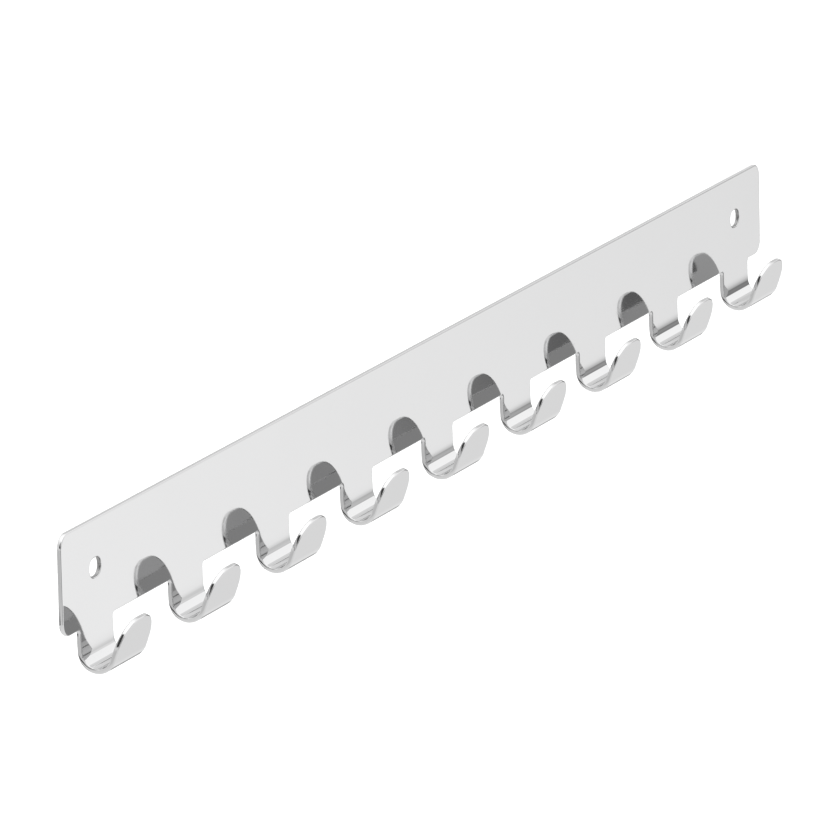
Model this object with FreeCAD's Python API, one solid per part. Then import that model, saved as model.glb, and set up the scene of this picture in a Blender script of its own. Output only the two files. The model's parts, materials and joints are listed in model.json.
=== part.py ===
import FreeCAD, Part
import math
import os

# Wall hook rail: one strip of sheet steel. Its lower edge is cut into tongues, and each
# tongue is bent forward and up into a hook. Nothing is welded, riveted or screwed on.
# +X runs along the rail and +Z is up. The wall is the plane Y = 0 and the room is on the
# -Y side. The origin is midway between the two screw slots, on the face against the wall.

# Driving dimensions, in millimetres unless the name says otherwise
SHEET = 1.2  # thickness of the steel sheet
HOOK_COUNT = 9
HOOK_PITCH = 50.0  # from one hook's centre line to the next
HOOK_WIDTH = 17.6
END_MARGIN = 18.0  # from an end hook's centre line to the end of the plate
PLATE_HEIGHT = 25.0
PLATE_CORNER = 3.6  # radius of the plate's four corners
SHANK_DROP = 2.4  # straight run of a hook from the plate's lower edge to its first curve
LEAD_RADIUS = 40.0  # inside radius of the slow curve that leads into the bend
LEAD_DEGREES = 5.0  # turn of that slow curve
BEND_RADIUS = 3.8  # inside radius of the bend
BEND_DEGREES = 155.0  # turn of the bend; the lip leans out by what both turns leave of 180
LIP_LENGTH = 9.8  # straight run along the lip, from the bend to the tip
TIP_CORNER = 7.4  # radius of the lip's two corners, which meet in a nearly round tip
ROOT_RADIUS = 1.0  # fillet between a hook's side and the plate's lower edge
SLOT_WIDTH = 4.6
SLOT_LENGTH = 6.2
SLOT_HEIGHT = 13.2  # from the plate's lower edge up to the slots' centre line
EDGE_ROUND = 0.3  # polished rounding of every sheared edge

# Worked out from the driving dimensions
HOOK_SPAN = (HOOK_COUNT - 1) * HOOK_PITCH
RAIL_LENGTH = HOOK_SPAN + 2 * END_MARGIN
PLATE_LOW = -SLOT_HEIGHT
CURVE_TOP = PLATE_LOW - SHANK_DROP
TIP_RADIUS = min(TIP_CORNER, HOOK_WIDTH / 2, LIP_LENGTH)  # as large as the lip has room for

ACROSS_SHEET = FreeCAD.Vector(0, 1, 0)
ALONG_RAIL = FreeCAD.Vector(1, 0, 0)
LEAD_CENTRE = FreeCAD.Vector(0, -SHEET - LEAD_RADIUS, CURVE_TOP)
BEND_CENTRE = FreeCAD.Vector(0, -SHEET - BEND_RADIUS, CURVE_TOP)  # before the lead's turn
SHARP_DEGREES = 60.0  # two faces that turn by more than this meet in a sheared edge


def sheet_block(width, low, high):
    """A flat piece of the sheet against the wall, centred on X = 0, from low to high."""
    return Part.makeBox(width, SHEET, high - low, FreeCAD.Vector(-width / 2, -SHEET, low))


def corner_web(corner_x, corner_z, toward_x, toward_z, radius):
    """The bit of sheet between a square corner and the arc that rounds it.

    The arc's centre is one radius from the corner along X and Z. toward_x and toward_z,
    each 1 or -1, say on which side of the corner it lies.
    """
    centre = FreeCAD.Vector(corner_x + toward_x * radius, -SHEET, corner_z + toward_z * radius)
    low = FreeCAD.Vector(min(corner_x, centre.x), -SHEET, min(corner_z, centre.z))
    square = Part.makeBox(radius, SHEET, radius, low)
    return square.cut(Part.makeCylinder(radius, SHEET, centre, ACROSS_SHEET))


def screw_slot(centre_x):
    """The slug punched out of the plate for one wall screw."""
    straight = SLOT_LENGTH - SLOT_WIDTH
    start = FreeCAD.Vector(centre_x - straight / 2, -SHEET, 0)
    end = FreeCAD.Vector(centre_x + straight / 2, -SHEET, 0)
    corner = start - FreeCAD.Vector(0, 0, SLOT_WIDTH / 2)
    slug = Part.makeBox(straight, SHEET, SLOT_WIDTH, corner)
    for round_end in (start, end):
        slug = slug.fuse(Part.makeCylinder(SLOT_WIDTH / 2, SHEET, round_end, ACROSS_SHEET))
    return slug.removeSplitter()


def plate():
    """The flat back plate with its rounded corners and the two screw slots."""
    top = PLATE_LOW + PLATE_HEIGHT
    body = sheet_block(RAIL_LENGTH, PLATE_LOW, top)
    for side in (-1, 1):
        end = side * RAIL_LENGTH / 2
        body = body.cut(corner_web(end, PLATE_LOW, -side, 1, PLATE_CORNER))
        body = body.cut(corner_web(end, top, -side, -1, PLATE_CORNER))
        body = body.cut(screw_slot(side * HOOK_SPAN / 2))
    return body


def shank():
    """The straight top of a hook, with the fillets that lead into the plate's edge."""
    body = sheet_block(HOOK_WIDTH, CURVE_TOP, PLATE_LOW)
    for side in (-1, 1):
        body = body.fuse(corner_web(side * HOOK_WIDTH / 2, PLATE_LOW, side, -1, ROOT_RADIUS))
    return body


def rolled(centre, degrees):
    """The shank's lower end turned about a centre in front of the sheet."""
    corner = FreeCAD.Vector(-HOOK_WIDTH / 2, -SHEET, CURVE_TOP)
    across = FreeCAD.Vector(HOOK_WIDTH, 0, 0)
    through = FreeCAD.Vector(0, SHEET, 0)
    outline = [corner, corner + across, corner + across + through, corner + through, corner]
    section = Part.Face(Part.makePolygon(outline))
    return section.revolve(centre, ALONG_RAIL, -degrees)


def lip():
    """The straight front of a hook, with its rounded tip, leaning out from the bend."""
    tip = CURVE_TOP - LIP_LENGTH
    body = sheet_block(HOOK_WIDTH, tip, CURVE_TOP)
    for side in (-1, 1):
        body = body.cut(corner_web(side * HOOK_WIDTH / 2, tip, -side, 1, TIP_RADIUS))
    body.rotate(BEND_CENTRE, ALONG_RAIL, -BEND_DEGREES)
    return body


def hook(number):
    """One whole hook, counted from the left end of the rail."""
    curl = rolled(BEND_CENTRE, BEND_DEGREES).fuse(lip())
    curl.rotate(LEAD_CENTRE, ALONG_RAIL, -LEAD_DEGREES)
    body = shank().fuse([rolled(LEAD_CENTRE, LEAD_DEGREES), curl])
    body.translate(FreeCAD.Vector(number * HOOK_PITCH - HOOK_SPAN / 2, 0, 0))
    return body


def face_turn(edge, faces):
    """How far the surface turns, in degrees, across the edge between two faces."""
    middle = edge.valueAt((edge.FirstParameter + edge.LastParameter) / 2)
    normals = []
    for face in faces:
        u, v = face.Surface.parameter(middle)
        normals.append(face.normalAt(u, v))
    return math.degrees(normals[0].getAngle(normals[1]))


def sheared_edges(shape):
    """The edges between the sheet's broad faces and its cut sides."""
    found = []
    for edge in shape.Edges:
        faces = shape.ancestorsOfType(edge, Part.Face)
        if len(faces) == 2 and face_turn(edge, faces) > SHARP_DEGREES:
            found.append(edge)
    return found


def hook_rail():
    """The whole rail: the plate and its hooks as one solid, with every edge rounded."""
    hooks = [hook(number) for number in range(HOOK_COUNT)]
    body = plate().fuse(hooks).removeSplitter()
    return body.makeFillet(EDGE_ROUND, sheared_edges(body))


os.makedirs("parts", exist_ok=True)
rail = hook_rail()
rail.exportStep("parts/hook_rail.step")
print("hook_rail valid:", rail.isValid(), "solids:", len(rail.Solids), "volume:", round(rail.Volume, 1))
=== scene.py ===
"""Wall hook rail in polished sheet steel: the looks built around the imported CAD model."""

import json
from math import cos, pi, radians, sin

import bmesh
import bpy
from mathutils import Euler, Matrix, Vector


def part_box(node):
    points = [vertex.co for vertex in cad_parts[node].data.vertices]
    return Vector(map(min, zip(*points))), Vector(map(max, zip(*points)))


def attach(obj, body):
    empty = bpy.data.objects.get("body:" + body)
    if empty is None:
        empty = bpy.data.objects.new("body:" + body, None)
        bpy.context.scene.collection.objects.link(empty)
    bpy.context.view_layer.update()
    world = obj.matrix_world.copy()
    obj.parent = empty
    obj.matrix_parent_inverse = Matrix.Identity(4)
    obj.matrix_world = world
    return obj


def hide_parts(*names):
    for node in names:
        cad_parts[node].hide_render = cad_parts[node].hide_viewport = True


bl_info = {
    "name": "Hook Rail",
    "version": (1, 0, 0),
    "blender": (4, 5, 0),
    "location": "View3D > Sidebar > Hook Rail",
    "description": "Builds a one-piece wall hook rail, its steel finish and its studio",
    "category": "Object",
}

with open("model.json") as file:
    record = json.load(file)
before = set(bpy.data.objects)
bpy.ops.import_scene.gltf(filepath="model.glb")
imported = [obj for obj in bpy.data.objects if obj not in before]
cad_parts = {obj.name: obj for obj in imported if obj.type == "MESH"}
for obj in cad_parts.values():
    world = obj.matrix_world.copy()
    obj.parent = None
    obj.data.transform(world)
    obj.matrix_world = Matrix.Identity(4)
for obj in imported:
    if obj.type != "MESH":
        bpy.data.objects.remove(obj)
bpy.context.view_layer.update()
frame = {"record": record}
RAIL_NODE = "hook_rail"
MILLIMETRE = 0.001


def mount(name):
    """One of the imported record's mounts."""
    return next(m for m in frame["record"]["mounts"] if m["name"] == name)


def hook_centres():
    """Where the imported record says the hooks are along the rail, from left to right."""
    boxes = [o["box_m"] for o in frame["record"]["physics"]["openings"] if o["name"].endswith("_seat")]
    return sorted((low[0] + high[0]) / 2 for low, high in boxes)


CENTRES = hook_centres()
SLOTS = mount("wall_screws")["dims"]
RAIL_LOW, RAIL_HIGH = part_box(RAIL_NODE)


# ---------------------------------------------------------------- settings

class RailSizes(bpy.types.PropertyGroup):
    """Sizes of the sheet, its hooks and its screw slots."""

    sheet: bpy.props.FloatProperty(
        name="Sheet", description="Thickness of the steel sheet", default=1.2 * MILLIMETRE, unit="LENGTH")
    plate_height: bpy.props.FloatProperty(
        name="Plate height", description="Height of the flat back plate",
        default=25.0 * MILLIMETRE, unit="LENGTH")
    plate_corner: bpy.props.FloatProperty(
        name="Plate corner", description="Radius of the plate's corners",
        default=3.6 * MILLIMETRE, unit="LENGTH")
    hook_width: bpy.props.FloatProperty(
        name="Hook width", description="Width of each hook along the rail",
        default=17.6 * MILLIMETRE, unit="LENGTH")
    shank_drop: bpy.props.FloatProperty(
        name="Shank drop", description="Straight run of a hook from the plate to its first curve",
        default=2.4 * MILLIMETRE, unit="LENGTH")
    lead_radius: bpy.props.FloatProperty(
        name="Lead radius", description="Inside radius of the slow curve that leads into the bend",
        default=40.0 * MILLIMETRE, unit="LENGTH")
    lead_turn: bpy.props.FloatProperty(
        name="Lead turn", description="How far the sheet turns through the slow curve",
        default=radians(5.0), subtype="ANGLE")
    bend_radius: bpy.props.FloatProperty(
        name="Bend radius", description="Inside radius of a hook's bend",
        default=3.8 * MILLIMETRE, unit="LENGTH")
    bend_turn: bpy.props.FloatProperty(
        name="Bend turn", description="How far the sheet turns through a hook's bend",
        default=radians(155.0), subtype="ANGLE")
    lip_length: bpy.props.FloatProperty(
        name="Lip length", description="Straight run from the bend to the tip",
        default=9.8 * MILLIMETRE, unit="LENGTH")
    tip_corner: bpy.props.FloatProperty(
        name="Tip corner", description="Radius of the two corners that round the tip",
        default=7.4 * MILLIMETRE, unit="LENGTH")
    root_radius: bpy.props.FloatProperty(
        name="Root radius", description="Fillet between a hook and the plate's lower edge",
        default=1.0 * MILLIMETRE, unit="LENGTH")
    edge_round: bpy.props.FloatProperty(
        name="Edge rounding", description="Rounding that polishing leaves on every sheared edge",
        default=0.3 * MILLIMETRE, unit="LENGTH")
    edge_swell: bpy.props.FloatProperty(
        name="Edge swell", description="How far a hook's cut sides stand out on the inside of its bend",
        default=0.08 * MILLIMETRE, unit="LENGTH")


class RailFinish(bpy.types.PropertyGroup):
    """Colour and polish of the steel."""

    steel_colour: bpy.props.FloatVectorProperty(
        name="Steel", description="Colour that the polished steel gives to what it mirrors",
        size=3, subtype="COLOR", min=0.0, max=1.0, default=(0.60, 0.60, 0.602))
    polish_roughness: bpy.props.FloatProperty(
        name="Polish", description="Roughness of the broad polished faces",
        default=0.03, min=0.0, max=1.0, subtype="FACTOR")
    edge_roughness: bpy.props.FloatProperty(
        name="Edge polish", description="Roughness of the sheared and rounded edges",
        default=0.04, min=0.0, max=1.0, subtype="FACTOR")
    haze: bpy.props.FloatProperty(
        name="Haze", description="Extra roughness where wiping has left the sheet cloudy",
        default=0.03, min=0.0, max=1.0, subtype="FACTOR")
    slot_colour: bpy.props.FloatVectorProperty(
        name="Slot wall", description="Colour of the punched, unpolished walls of the slots",
        size=3, subtype="COLOR", min=0.0, max=1.0, default=(0.30, 0.30, 0.30))
    wave_depth: bpy.props.FloatProperty(
        name="Sheet waves", description="Depth of the sheet's gentle unevenness",
        default=0.00006, unit="LENGTH", precision=6)
    line_depth: bpy.props.FloatProperty(
        name="Polishing lines", description="Depth of the fine lines that polishing leaves",
        default=0.0000004, unit="LENGTH", precision=7)


class StudioSettings(bpy.types.PropertyGroup):
    """Camera, floor and light."""

    camera_azimuth: bpy.props.FloatProperty(
        name="Camera azimuth", description="Direction the camera looks in, round from straight at the wall",
        default=radians(65.653), subtype="ANGLE")
    camera_elevation: bpy.props.FloatProperty(
        name="Camera elevation", description="How far the camera looks down",
        default=radians(13.689), subtype="ANGLE")
    camera_roll: bpy.props.FloatProperty(
        name="Camera roll", description="Tilt of the camera about its own line of sight",
        default=radians(-1.24), subtype="ANGLE")
    camera_distance: bpy.props.FloatProperty(
        name="Camera distance", description="From the point looked at to the camera",
        default=2.4896, unit="LENGTH")
    camera_aim: bpy.props.FloatVectorProperty(
        name="Camera aim", description="Point of the rail that the camera looks at",
        size=3, subtype="TRANSLATION", default=(-0.01454, -0.0012, -0.00578))
    camera_lens: bpy.props.FloatProperty(
        name="Lens", description="Focal length in millimetres", default=425.6)
    floor_drop: bpy.props.FloatProperty(
        name="Floor drop", description="From the rail's origin down to the floor",
        default=0.30, unit="LENGTH")
    dome_strength: bpy.props.FloatProperty(
        name="Dome strength", description="Brightness of the white room behind the rail", default=1.35)
    card_strength: bpy.props.FloatProperty(
        name="Card strength", description="Brightness of the studio that the steel mirrors", default=1.0)


# ---------------------------------------------------------------- sheet geometry

def turned(point, centre, angle):
    """A point of the plane across the rail, turned about a centre as the hooks are bent."""
    arm = point - centre
    across = arm.x * cos(angle) + arm.y * sin(angle)
    up = arm.y * cos(angle) - arm.x * sin(angle)
    return centre + Vector((across, up))


def within(value, limit):
    """The value held between zero and a limit."""
    return min(max(value, 0.0), limit)


def fold(sizes, along, down, depth):
    """Where a point of the flat sheet lies once the hooks are bent.

    along is X, down runs from the plate's lower edge along the front face of a tongue,
    and depth goes from the front face into the sheet.
    """
    front, curve_top = -sizes.sheet, RAIL_HIGH.z - sizes.plate_height - sizes.shank_drop
    curved = down - sizes.shank_drop
    bent = curved - sizes.lead_radius * sizes.lead_turn
    straight = max(bent - sizes.bend_radius * sizes.bend_turn, 0.0)
    point = Vector((front + depth, curve_top - straight - min(curved, 0.0)))
    bend_centre = Vector((front - sizes.bend_radius, curve_top))
    lead_centre = Vector((front - sizes.lead_radius, curve_top))
    point = turned(point, bend_centre, within(bent / sizes.bend_radius, sizes.bend_turn))
    point = turned(point, lead_centre, within(curved / sizes.lead_radius, sizes.lead_turn))
    return Vector((along, point.x, point.y))


def arc(centre, radius, start, end, steps, inward):
    """Points on a round corner of the flat outline, each with its direction into the metal.

    Angles are in degrees in the plane of (along, down). inward is 1 where the metal is on
    the outside of the arc and -1 where it holds the arc's centre.
    """
    points = []
    for step in range(steps + 1):
        angle = radians(start + (end - start) * step / steps)
        ray = Vector((cos(angle), sin(angle)))
        points.append((Vector(centre) + radius * ray, inward * ray))
    return points


FILLET_STEPS = 8
CORNER_STEPS = 12
TIP_STEPS = 18
LEAD_STEPS = 4
BEND_STEPS = 40
SLOT_STEPS = 16
ROUND_STEPS = 5
SUPPORT = 0.15 * MILLIMETRE  # narrow flat strip beside each rounding
SWELL_RUN = 2.0 * MILLIMETRE  # length over which the swelling of the cut sides comes and goes


def bend_start(sizes):
    """How far down the tongue the tight bend starts."""
    return sizes.shank_drop + sizes.lead_radius * sizes.lead_turn


def bend_end(sizes):
    """How far down the tongue the tight bend ends and the lip starts."""
    return bend_start(sizes) + sizes.bend_radius * sizes.bend_turn


def bend_rows(sizes):
    """Distances down the tongue at which the curves' rows lie, with a flat row each side."""
    top, start, end = sizes.shank_drop, bend_start(sizes), bend_end(sizes)
    lead = [top + (start - top) * step / LEAD_STEPS for step in range(LEAD_STEPS)]
    bend = [start + (end - start) * step / BEND_STEPS for step in range(BEND_STEPS + 1)]
    return [top - SUPPORT] + lead + bend + [end + SUPPORT]


def swell(sizes, down):
    """How far the cut sides stand out on the inside of the bend, at a distance down the tongue."""
    rise = within((down - bend_start(sizes)) / SWELL_RUN, 1.0)
    fall = within((bend_end(sizes) - down) / SWELL_RUN, 1.0)
    cover = min(rise, fall)
    return sizes.edge_swell * cover * cover * (3.0 - 2.0 * cover)


def tongue_half(sizes, centre, side):
    """One side of a hook's flat outline, from the plate's lower edge to the tip's middle."""
    half, root, tip = sizes.hook_width / 2, sizes.root_radius, sizes.tip_corner
    total = bend_end(sizes) + sizes.lip_length
    into = Vector((-side, 0.0))
    fillet = arc((centre + side * (half + root), root), root, -90, -90 - side * 90, FILLET_STEPS, 1)
    rows = [(Vector((centre + side * half, row)), into) for row in bend_rows(sizes)]
    corner = arc((centre + side * (half - tip), total - tip), tip, 90 - side * 90, 90, TIP_STEPS, -1)
    return fillet + rows + corner


def tongue(sizes, centre):
    """The flat outline of a whole hook, from left to right."""
    left = tongue_half(sizes, centre, -1)
    right = tongue_half(sizes, centre, 1)
    return left + right[::-1]


class Sheet:
    """A piece of the folded sheet, made from flat outlines with rounded edges."""

    def __init__(self, name, sizes):
        self.name = name
        self.sizes = sizes
        self.bm = bmesh.new()
        self.edge_mask = self.bm.verts.layers.float.new("cut_edge")
        self.slot_mask = self.bm.verts.layers.float.new("slot_wall")
        self.profile = self.edge_profile()
        self.rims = {"front": [], "back": []}

    def edge_profile(self):
        """Inset from the outline, depth and edge mask, from the front face round to the back."""
        sheet, radius = self.sizes.sheet, self.sizes.edge_round
        front = [(radius + SUPPORT, 0.0, 0.0)]
        for step in range(ROUND_STEPS + 1):
            angle = pi / 2 * step / ROUND_STEPS
            front.append((radius * (1 - sin(angle)), radius * (1 - cos(angle)), step / ROUND_STEPS))
        back = [(inset, sheet - depth, mask) for inset, depth, mask in reversed(front)]
        return front + back

    def rim(self, outline, closed=False):
        """The rounded edge along an outline. Returns its front and back rows of vertices."""
        rows = []
        for inset, depth, mask in self.profile:
            row = []
            for point, into in outline:
                pressed = swell(self.sizes, point.y) * (1.0 - 2.0 * depth / self.sizes.sheet)
                place = point + (inset - pressed) * into
                vert = self.bm.verts.new(fold(self.sizes, place.x, place.y, depth))
                vert[self.edge_mask] = mask
                vert[self.slot_mask] = mask if closed else 0.0
                row.append(vert)
            rows.append(row)
        for row, after in zip(rows, rows[1:]):
            self.strip(row, after, closed)
        return rows[0], rows[-1]

    def strip(self, row, after, closed=False):
        """Quads between two rows of vertices."""
        count = len(row) if closed else len(row) - 1
        for index in range(count):
            following = (index + 1) % len(row)
            self.bm.faces.new((row[index], row[following], after[following], after[index]))

    def fill(self, loops):
        """Fills a flat area bounded by closed loops of vertices."""
        edges = []
        for loop in loops:
            for index, vert in enumerate(loop):
                pair = (vert, loop[(index + 1) % len(loop)])
                edges.append(self.bm.edges.get(pair) or self.bm.edges.new(pair))
        bmesh.ops.triangle_fill(self.bm, use_beauty=True, edges=edges)

    def web(self, hook, plate_before, plate_after, holes):
        """Closes one broad face: the plate, the bend's rows and the lip.

        hook holds the face's vertices along the tongue's outline. The plate's other border
        runs from the tongue's last vertex round to its first.
        """
        rows = len(bend_rows(self.sizes))
        first = FILLET_STEPS + 1
        last = first + rows - 1
        left = hook[first:last + 1]
        right = hook[len(hook) - 1 - last:len(hook) - first][::-1]
        self.strip(left, right)
        self.fill([hook[:first + 1] + hook[len(hook) - 1 - first:] + plate_after + plate_before] + holes)
        self.fill([hook[last:len(hook) - last]])

    def object(self):
        """The finished piece as a mesh object."""
        bmesh.ops.recalc_face_normals(self.bm, faces=self.bm.faces)
        mesh = bpy.data.meshes.new(self.name)
        self.bm.to_mesh(mesh)
        self.bm.free()
        piece = bpy.data.objects.new(self.name, mesh)
        bpy.context.scene.collection.objects.link(piece)
        return piece


def middle_bay(sizes, pitch):
    """A hook and the stretch of plate above it, as wide as the hooks' pitch, at X = 0."""
    sheet = Sheet("middle_bay", sizes)
    half, top = pitch / 2, -sizes.plate_height
    up, down = Vector((0, -1)), Vector((0, 1))
    lower = [(Vector((-half, 0)), up)] + tongue(sizes, 0.0) + [(Vector((half, 0)), up)]
    upper = [(Vector((half, top)), down), (Vector((-half, top)), down)]
    lower_rows = sheet.rim(lower)
    upper_rows = sheet.rim(upper)
    for low, high in zip(lower_rows, upper_rows):
        sheet.web(low[1:-1], [low[0]], [low[-1]] + high, [])
    return sheet.object()


def end_bay(sizes, name, side, seam, hook_x, end_x):
    """The last hook and its stretch of plate, with the rounded end and the screw slot."""
    sheet = Sheet(name, sizes)
    top, corner = -sizes.plate_height, sizes.plate_corner
    up, down = Vector((0, -1)), Vector((0, 1))
    high_corner = arc((end_x - side * corner, top + corner), corner, -90, -90 + side * 90, CORNER_STEPS, -1)
    low_corner = arc((end_x - side * corner, -corner), corner, 90 - side * 90, 90, CORNER_STEPS, -1)
    outer = [(Vector((seam, top)), down)] + high_corner + low_corner
    hook = tongue(sizes, hook_x)
    if side > 0:
        hook = hook[::-1]
    inner = [(Vector((seam, 0)), up)]
    outline = outer + hook + inner
    slot_half = (SLOTS["slot_length_mm"] / 2 - SLOTS["hole_r_mm"]) * MILLIMETRE
    slot_radius = SLOTS["hole_r_mm"] * MILLIMETRE
    slot_down = RAIL_HIGH.z - sizes.plate_height
    slot_x = side * SLOTS["spacing_x_mm"] * MILLIMETRE / 2
    slot = arc((slot_x + slot_half, slot_down), slot_radius, -90, 90, SLOT_STEPS, 1)
    slot += arc((slot_x - slot_half, slot_down), slot_radius, 90, 270, SLOT_STEPS, 1)
    around = sheet.rim(outline)
    hole = sheet.rim(slot, closed=True)
    count = len(outer)
    for face, ring in zip(around, hole):
        hook_verts = face[count:count + len(hook)]
        rest = [face[-1]] + face[:count]
        if side > 0:
            hook_verts = hook_verts[::-1]
            rest = rest[::-1]
        sheet.web(hook_verts, [], rest, [ring])
    return sheet.object()


# ---------------------------------------------------------------- rail from bays

def add_socket(tree, name, kind, default=None):
    """A named input of a node group."""
    socket = tree.interface.new_socket(name=name, in_out="INPUT", socket_type=kind)
    if default is not None:
        socket.default_value = default
    return socket


def math_node(tree, operation, *values):
    """A math node on sockets and plain numbers. Returns its result."""
    node = tree.nodes.new("ShaderNodeMath")
    node.operation = operation
    for index, value in enumerate(values):
        if isinstance(value, (int, float)):
            node.inputs[index].default_value = value
        else:
            tree.links.new(value, node.inputs[index])
    return node.outputs[0]


def rail_tree():
    """Geometry nodes that set the bays in a row, add the two ends and weld them."""
    tree = bpy.data.node_groups.new("Rail from bays", "GeometryNodeTree")
    add_socket(tree, "Bay", "NodeSocketGeometry")
    add_socket(tree, "Left end", "NodeSocketObject")
    add_socket(tree, "Right end", "NodeSocketObject")
    add_socket(tree, "Middle hooks", "NodeSocketInt", 7)
    add_socket(tree, "Pitch", "NodeSocketFloat", 0.05)
    add_socket(tree, "Weld distance", "NodeSocketFloat", 0.00001)
    add_socket(tree, "Steel", "NodeSocketMaterial")
    tree.interface.new_socket(name="Rail", in_out="OUTPUT", socket_type="NodeSocketGeometry")
    new, link = tree.nodes.new, tree.links.new
    start = new("NodeGroupInput").outputs
    gaps = math_node(tree, "SUBTRACT", start["Middle hooks"], 1.0)
    row_length = math_node(tree, "MULTIPLY", gaps, start["Pitch"])
    first_place = new("ShaderNodeCombineXYZ")
    link(math_node(tree, "MULTIPLY", row_length, -0.5), first_place.inputs["X"])
    step = new("ShaderNodeCombineXYZ")
    link(start["Pitch"], step.inputs["X"])
    line = new("GeometryNodeMeshLine")
    line.mode = "OFFSET"
    link(start["Middle hooks"], line.inputs["Count"])
    link(first_place.outputs[0], line.inputs["Start Location"])
    link(step.outputs[0], line.inputs["Offset"])
    bays = new("GeometryNodeInstanceOnPoints")
    link(line.outputs["Mesh"], bays.inputs["Points"])
    link(start["Bay"], bays.inputs["Instance"])
    join = new("GeometryNodeJoinGeometry")
    link(bays.outputs["Instances"], join.inputs["Geometry"])
    for name in ("Left end", "Right end"):
        end = new("GeometryNodeObjectInfo")
        end.transform_space = "RELATIVE"
        link(start[name], end.inputs["Object"])
        link(end.outputs["Geometry"], join.inputs["Geometry"])
    realize = new("GeometryNodeRealizeInstances")
    link(join.outputs[0], realize.inputs[0])
    weld = new("GeometryNodeMergeByDistance")
    link(realize.outputs[0], weld.inputs["Geometry"])
    link(start["Weld distance"], weld.inputs["Distance"])
    smooth = new("GeometryNodeSetShadeSmooth")
    link(weld.outputs[0], smooth.inputs["Geometry"])
    paint = new("GeometryNodeSetMaterial")
    link(smooth.outputs[0], paint.inputs["Geometry"])
    link(start["Steel"], paint.inputs["Material"])
    finish = new("NodeGroupOutput")
    link(paint.outputs[0], finish.inputs[0])
    return tree


def set_input(modifier, name, value):
    """Sets a modifier's input by the identifier of the socket with that name."""
    sockets = modifier.node_group.interface.items_tree
    socket = next(s for s in sockets if s.item_type == "SOCKET" and s.in_out == "INPUT" and s.name == name)
    modifier[socket.identifier] = value


def as_plain_mesh(source, name):
    """A plain mesh object with what source's modifiers make of it."""
    graph = bpy.context.evaluated_depsgraph_get()
    mesh = bpy.data.meshes.new_from_object(source.evaluated_get(graph), depsgraph=graph)
    mesh.name = name
    piece = bpy.data.objects.new(name, mesh)
    bpy.context.scene.collection.objects.link(piece)
    return piece


# ---------------------------------------------------------------- steel

def noise_layer(tree, place, stretch, detail, seed):
    """Noise with a different scale along each axis. Returns a value about one half."""
    new, link = tree.nodes.new, tree.links.new
    mapping = new("ShaderNodeMapping")
    mapping.inputs["Scale"].default_value = stretch
    mapping.inputs["Location"].default_value = (seed, 2.0 * seed, 3.0 * seed)
    link(place, mapping.inputs["Vector"])
    noise = new("ShaderNodeTexNoise")
    noise.inputs["Scale"].default_value = 1.0
    noise.inputs["Detail"].default_value = detail
    link(mapping.outputs["Vector"], noise.inputs["Vector"])
    return noise.outputs["Fac"]


def span(tree, value, low, high, to_low, to_high):
    """Maps a value's range smoothly onto another, without going past its ends."""
    node = tree.nodes.new("ShaderNodeMapRange")
    node.interpolation_type = "SMOOTHSTEP"
    tree.links.new(value, node.inputs["Value"])
    for name, number in (("From Min", low), ("From Max", high), ("To Min", to_low), ("To Max", to_high)):
        node.inputs[name].default_value = number
    return node.outputs["Result"]


SCRATCH_ROUGHNESS = 0.06  # added to the polish along a hair scratch
SLOT_ROUGHNESS = 0.25  # added to the polish on the punched walls of the slots


def polish_group():
    """Shader group with the traces that rolling, polishing and handling leave on the sheet.

    Outputs heights in metres and a haze that dulls the mirror a little where it was wiped.
    """
    tree = bpy.data.node_groups.new("Polish traces", "ShaderNodeTree")
    add_socket(tree, "Place", "NodeSocketVector")
    for name in ("Waves", "Lines", "Haze", "Scratches"):
        tree.interface.new_socket(name=name, in_out="OUTPUT", socket_type="NodeSocketFloat")
    place = tree.nodes.new("NodeGroupInput").outputs["Place"]
    waves = noise_layer(tree, place, (24.0, 40.0, 40.0), 1.0, 3.1)
    lines = noise_layer(tree, place, (110.0, 6500.0, 6500.0), 2.0, 5.7)
    haze = noise_layer(tree, place, (34.0, 60.0, 90.0), 4.0, 8.3)
    wiped = noise_layer(tree, place, (70.0, 500.0, 500.0), 3.0, 2.9)
    hairs = noise_layer(tree, place, (60.0, 5200.0, 5200.0), 0.0, 11.9)
    where = noise_layer(tree, place, (95.0, 150.0, 150.0), 2.0, 6.1)
    patches = span(tree, haze, 0.42, 0.72, 0.0, 1.0)
    cloud = math_node(tree, "MULTIPLY", patches, span(tree, wiped, 0.3, 0.7, 0.4, 1.0))
    fine_hairs = span(tree, hairs, 0.70, 0.76, 0.0, 1.0)
    scratch = math_node(tree, "MULTIPLY", fine_hairs, span(tree, where, 0.52, 0.66, 0.0, 1.0))
    finish = tree.nodes.new("NodeGroupOutput")
    for name, value in (("Waves", waves), ("Lines", lines), ("Haze", cloud), ("Scratches", scratch)):
        tree.links.new(value, finish.inputs[name])
    return tree


def bump(tree, height, distance, under=None):
    """A bump of a given depth in metres, on top of another normal."""
    node = tree.nodes.new("ShaderNodeBump")
    node.inputs["Strength"].default_value = 1.0
    node.inputs["Distance"].default_value = distance
    tree.links.new(height, node.inputs["Height"])
    if under is not None:
        tree.links.new(under, node.inputs["Normal"])
    return node.outputs["Normal"]


def edge_mask(tree, name):
    """A mask that the mesh carries from vertex to vertex."""
    node = tree.nodes.new("ShaderNodeAttribute")
    node.attribute_name = name
    return node.outputs["Fac"]


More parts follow.
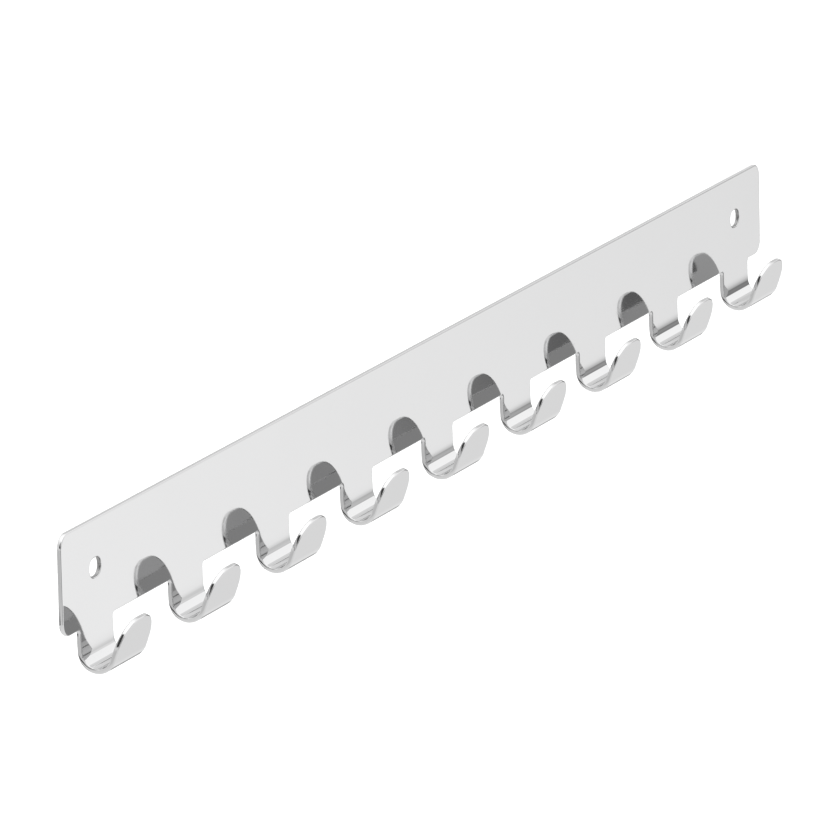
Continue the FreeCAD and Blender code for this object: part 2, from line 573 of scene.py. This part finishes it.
def polished_steel(finish):
    """Mirror-polished stainless steel, duller on its cut edges and dark inside the slots."""
    material = bpy.data.materials.new("polished_steel")
    material.use_nodes = True
    tree = material.node_tree
    new, link = tree.nodes.new, tree.links.new
    tree.nodes.clear()
    traces = new("ShaderNodeGroup")
    traces.node_tree = polish_group()
    link(new("ShaderNodeTexCoord").outputs["Object"], traces.inputs["Place"])
    cut, slot = edge_mask(tree, "cut_edge"), edge_mask(tree, "slot_wall")
    dulled = math_node(tree, "MULTIPLY_ADD", traces.outputs["Haze"], finish.haze, finish.polish_roughness)
    scratched = math_node(tree, "MULTIPLY_ADD", traces.outputs["Scratches"], SCRATCH_ROUGHNESS, dulled)
    edge_gain = finish.edge_roughness - finish.polish_roughness
    rougher = math_node(tree, "MULTIPLY_ADD", cut, edge_gain, scratched)
    colour = new("ShaderNodeMix")
    colour.data_type = "RGBA"
    link(slot, colour.inputs["Factor"])
    colour.inputs["A"].default_value = (*finish.steel_colour, 1.0)
    colour.inputs["B"].default_value = (*finish.slot_colour, 1.0)
    shader = new("ShaderNodeBsdfPrincipled")
    shader.inputs["Metallic"].default_value = 1.0
    link(colour.outputs["Result"], shader.inputs["Base Color"])
    link(math_node(tree, "MULTIPLY_ADD", slot, SLOT_ROUGHNESS, rougher), shader.inputs["Roughness"])
    normal = bump(tree, traces.outputs["Waves"], finish.wave_depth)
    normal = bump(tree, traces.outputs["Lines"], finish.line_depth, normal)
    normal = bump(tree, traces.outputs["Scratches"], -finish.line_depth, normal)
    link(normal, shader.inputs["Normal"])
    link(shader.outputs["BSDF"], new("ShaderNodeOutputMaterial").inputs["Surface"])
    return material


# ---------------------------------------------------------------- operators

class HOOKRAIL_OT_rail(bpy.types.Operator):
    """Build the rail: one folded sheet with its hooks, ends and screw slots"""

    bl_idname = "hookrail.rail"
    bl_label = "Rail"

    def execute(self, context):
        sizes = context.scene.rail_sizes
        pitch = (CENTRES[-1] - CENTRES[0]) / (len(CENTRES) - 1)
        bay = middle_bay(sizes, pitch)
        left = end_bay(sizes, "left_end", -1, CENTRES[0] + pitch / 2, CENTRES[0], RAIL_LOW.x)
        right = end_bay(sizes, "right_end", 1, CENTRES[-1] - pitch / 2, CENTRES[-1], RAIL_HIGH.x)
        modifier = bay.modifiers.new("Rail", "NODES")
        modifier.node_group = rail_tree()
        set_input(modifier, "Left end", left)
        set_input(modifier, "Right end", right)
        set_input(modifier, "Middle hooks", len(CENTRES) - 2)
        set_input(modifier, "Pitch", pitch)
        set_input(modifier, "Steel", polished_steel(context.scene.rail_finish))
        rail = as_plain_mesh(bay, "polished_rail")
        for spare in (bay, left, right):
            bpy.data.objects.remove(spare)
        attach(rail, "root")
        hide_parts(RAIL_NODE)
        return {"FINISHED"}


class HOOKRAIL_OT_studio(bpy.types.Operator):
    """Set up the floor, the light and the camera"""

    bl_idname = "hookrail.studio"
    bl_label = "Studio"

    def execute(self, context):
        studio = context.scene.studio_settings
        add_floor(studio)
        add_world(studio)
        add_camera(studio)
        return {"FINISHED"}


FLOOR_HALF = 30.0  # metres from the floor's middle to its sides


def add_floor(studio):
    """A wide pale floor well below the rail, which the steel mirrors as cards instead."""
    mesh = bpy.data.meshes.new("floor")
    half = FLOOR_HALF
    corners = [(-half, -half), (half, -half), (half, half), (-half, half)]
    mesh.from_pydata([(x, y, -studio.floor_drop) for x, y in corners], [], [(0, 1, 2, 3)])
    floor = bpy.data.objects.new("floor", mesh)
    bpy.context.scene.collection.objects.link(floor)
    material = bpy.data.materials.new("pale_floor")
    material.use_nodes = True
    shader = material.node_tree.nodes["Principled BSDF"]
    shader.inputs["Base Color"].default_value = (0.95, 0.95, 0.95, 1.0)
    shader.inputs["Roughness"].default_value = 0.9
    mesh.materials.append(material)
    floor.visible_glossy = False


# Each card: its name, the bearing and height of its middle, half its width and height, how
# soft its border is, all in degrees, and its brightness. Bearing 0 faces the rail from the
# room, 90 is past its right end and 180 is behind the wall. Later cards lie over earlier ones.
CARD_ANGLES = ("Card bearing", "Card height", "Half width", "Half height", "Softness")
STUDIO_CARDS = (
    ("lit floor", 28.0, -16.0, 40.0, 8.0, 8.0, 1.36),
    ("dark gap", 77.0, 0.5, 14.5, 9.5, 2.5, 0.28),
    ("right wall", 59.0, 29.5, 25.0, 21.0, 1.0, 1.42),
    ("dark side", 92.0, -8.0, 19.0, 7.5, 2.0, 0.12),
    ("right lamp", 97.0, 4.0, 9.0, 5.0, 3.0, 1.30),
    ("back wall", 116.0, 20.0, 24.0, 11.0, 3.0, 0.88),
    ("gap behind", 129.0, 3.0, 14.0, 8.0, 1.5, 0.50),
    ("back floor", 124.0, -21.0, 22.0, 10.0, 3.0, 0.35),
    ("left floor", -138.0, -12.0, 34.0, 5.0, 3.0, 0.78),
    ("left gap", -43.0, -14.0, 23.0, 7.0, 3.0, 0.28),
    ("left spot", -142.0, -20.0, 22.0, 2.8, 1.0, 0.08),
    ("shadow behind", -172.0, -38.0, 24.0, 8.0, 2.0, 0.05),
    ("camera stand", -42.0, 7.0, 22.0, 10.0, 4.0, 0.06),
    ("black flag", -99.0, 29.0, 15.0, 25.0, 3.0, 0.07),
)
# Height in degrees and brightness of the plain dome behind the cards
STUDIO_DOME = ((-90.0, 1.12), (-45.0, 1.08), (-28.0, 1.01), (-10.0, 0.94), (0.0, 0.96), (5.0, 1.16),
               (12.0, 1.05), (22.0, 0.97), (35.0, 1.10), (55.0, 1.60), (68.0, 1.80), (90.0, 1.80))
BRIGHTEST = 2.0


def card_group():
    """Shader group that lays one soft-edged card over the dome's brightness."""
    tree = bpy.data.node_groups.new("Studio card", "ShaderNodeTree")
    for name in ("Under", "Bearing", "Height", *CARD_ANGLES, "Brightness"):
        add_socket(tree, name, "NodeSocketFloat")
    tree.interface.new_socket(name="Over", in_out="OUTPUT", socket_type="NodeSocketFloat")
    new, link = tree.nodes.new, tree.links.new
    start = new("NodeGroupInput").outputs
    covers = []
    directions = (("Bearing", "Card bearing", "Half width"), ("Height", "Card height", "Half height"))
    for place, middle, half in directions:
        offset = math_node(tree, "SUBTRACT", start[place], start[middle])
        away = math_node(tree, "ABSOLUTE", math_node(tree, "WRAP", offset, pi, -pi))
        cover = new("ShaderNodeMapRange")
        cover.interpolation_type = "SMOOTHSTEP"
        link(away, cover.inputs["Value"])
        link(math_node(tree, "SUBTRACT", start[half], start["Softness"]), cover.inputs["From Min"])
        link(math_node(tree, "ADD", start[half], start["Softness"]), cover.inputs["From Max"])
        cover.inputs["To Min"].default_value = 1.0
        cover.inputs["To Max"].default_value = 0.0
        covers.append(cover.outputs["Result"])
    mix = new("ShaderNodeMix")
    link(math_node(tree, "MULTIPLY", *covers), mix.inputs["Factor"])
    link(start["Under"], mix.inputs["A"])
    link(start["Brightness"], mix.inputs["B"])
    link(mix.outputs["Result"], new("NodeGroupOutput").inputs["Over"])
    return tree


def add_world(studio):
    """A plain white room as the camera sees it, with the studio's cards as the steel sees it."""
    world = bpy.data.worlds.new("white_room")
    world.use_nodes = True
    tree = world.node_tree
    new, link = tree.nodes.new, tree.links.new
    tree.nodes.clear()
    coordinates = new("ShaderNodeTexCoord")
    split = new("ShaderNodeSeparateXYZ")
    link(coordinates.outputs["Generated"], split.inputs[0])
    toward_room = math_node(tree, "MULTIPLY", split.outputs["Y"], -1.0)
    bearing = math_node(tree, "ARCTAN2", split.outputs["X"], toward_room)
    height = math_node(tree, "ARCSINE", split.outputs["Z"])
    place = math_node(tree, "MULTIPLY_ADD", height, 1.0 / pi, 0.5)
    ramp = new("ShaderNodeValToRGB")
    link(place, ramp.inputs["Fac"])
    elements = ramp.color_ramp.elements
    while len(elements) < len(STUDIO_DOME):
        elements.new(1.0)
    for element, (degrees, brightness) in zip(elements, STUDIO_DOME):
        element.position = degrees / 180.0 + 0.5
        level = brightness / BRIGHTEST
        element.color = (level, level, level, 1.0)
    light = math_node(tree, "MULTIPLY", ramp.outputs["Color"], BRIGHTEST)
    group = card_group()
    for name, *angles, brightness in STUDIO_CARDS:
        card = new("ShaderNodeGroup")
        card.node_tree = group
        card.label = name
        link(light, card.inputs["Under"])
        link(bearing, card.inputs["Bearing"])
        link(height, card.inputs["Height"])
        for socket, degrees in zip(CARD_ANGLES, angles):
            card.inputs[socket].default_value = radians(degrees)
        card.inputs["Brightness"].default_value = brightness
        light = card.outputs["Over"]
    path = new("ShaderNodeLightPath")
    mirrored = new("ShaderNodeBackground")
    mirrored.inputs["Color"].default_value = (1.0, 1.0, 1.0, 1.0)
    link(math_node(tree, "MULTIPLY", light, studio.card_strength), mirrored.inputs["Strength"])
    plain = new("ShaderNodeBackground")
    plain.inputs["Color"].default_value = (1.0, 1.0, 1.0, 1.0)
    plain.inputs["Strength"].default_value = studio.dome_strength
    mix = new("ShaderNodeMixShader")
    link(path.outputs["Is Glossy Ray"], mix.inputs["Fac"])
    link(plain.outputs[0], mix.inputs[1])
    link(mirrored.outputs[0], mix.inputs[2])
    link(mix.outputs[0], new("ShaderNodeOutputWorld").inputs["Surface"])
    bpy.context.scene.world = world
    bpy.context.scene.view_settings.view_transform = "Standard"


def add_camera(studio):
    """A long lens that looks along the rail from its left end."""
    data = bpy.data.cameras.new("camera")
    data.lens = studio.camera_lens
    data.clip_end = 100.0
    camera = bpy.data.objects.new("camera", data)
    bpy.context.scene.collection.objects.link(camera)
    azimuth, elevation = studio.camera_azimuth, studio.camera_elevation
    look = Vector((sin(azimuth) * cos(elevation), cos(azimuth) * cos(elevation), -sin(elevation)))
    camera.location = Vector(studio.camera_aim) - studio.camera_distance * look
    turn = look.to_track_quat("-Z", "Y") @ Euler((0, 0, studio.camera_roll)).to_quaternion()
    camera.rotation_euler = turn.to_euler()
    bpy.context.scene.camera = camera


class HOOKRAIL_PT_panel(bpy.types.Panel):
    """Shows the settings of the rail, its steel and its studio, with the buttons that build them"""

    bl_idname = "HOOKRAIL_PT_panel"
    bl_label = "Hook Rail"
    bl_space_type = "VIEW_3D"
    bl_region_type = "UI"
    bl_category = "Hook Rail"

    def draw(self, context):
        for settings in (context.scene.rail_sizes, context.scene.rail_finish, context.scene.studio_settings):
            column = self.layout.column(align=True)
            for name in settings.__annotations__:
                column.prop(settings, name)
        for operator in OPERATORS:
            self.layout.operator(operator.bl_idname)


SETTINGS = {"rail_sizes": RailSizes, "rail_finish": RailFinish, "studio_settings": StudioSettings}
OPERATORS = (HOOKRAIL_OT_rail, HOOKRAIL_OT_studio)


def register():
    """Registers the settings, the operators and the panel."""
    for name, settings in SETTINGS.items():
        bpy.utils.register_class(settings)
        setattr(bpy.types.Scene, name, bpy.props.PointerProperty(type=settings))
    for operator in OPERATORS:
        bpy.utils.register_class(operator)
    bpy.utils.register_class(HOOKRAIL_PT_panel)


def unregister():
    """Removes what register added."""
    bpy.utils.unregister_class(HOOKRAIL_PT_panel)
    for operator in reversed(OPERATORS):
        bpy.utils.unregister_class(operator)
    for name, settings in SETTINGS.items():
        delattr(bpy.types.Scene, name)
        bpy.utils.unregister_class(settings)


def main():
    """Builds the rail and its studio."""
    register()
    bpy.ops.hookrail.rail()
    bpy.ops.hookrail.studio()


if __name__ == "__main__":
    main()
